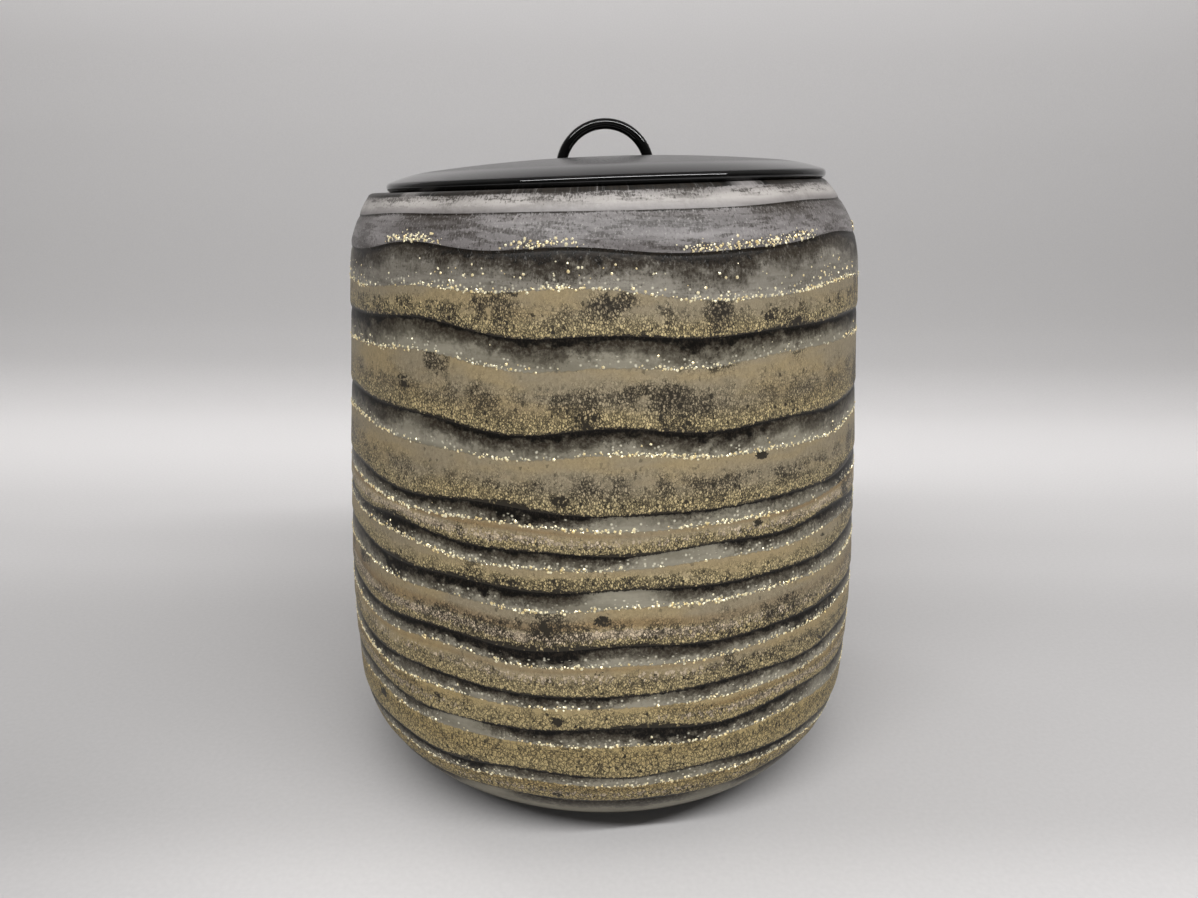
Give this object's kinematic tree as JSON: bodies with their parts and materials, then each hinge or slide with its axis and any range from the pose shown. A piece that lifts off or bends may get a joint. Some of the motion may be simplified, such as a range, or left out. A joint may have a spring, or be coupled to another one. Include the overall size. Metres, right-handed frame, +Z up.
{
  "type": "lidded water jar",
  "caption": "Barrel-shaped blown-glass water jar with a rounded shoulder and a sloping ground rim, closed by a domed lacquered lid that lifts off by a small arched handle.",
  "frame": {"origin": "centre of the foot, on the surface that the jar stands on", "axes": "+Z up along the jar's axis, -Y towards the side that the picture shows, +X towards the high side of the rim"},
  "size_m": [0.155, 0.155, 0.1878],
  "materials": {
    "gold_leaf_glass": "satin glass wound with gold leaf",
    "black_lacquer": "polished black lacquer"
  },
  "bodies": {
    "jar": {"jar": "gold_leaf_glass"},
    "lid": {"lid_board": "black_lacquer", "lid_handle": "black_lacquer"}
  },
  "joints": [
    {"name": "lid_lift", "type": "slide", "parent": "jar", "child": "lid", "axis": [-0.0401, 0, 0.9992], "range_m": [0, 0.12]}
  ]
}
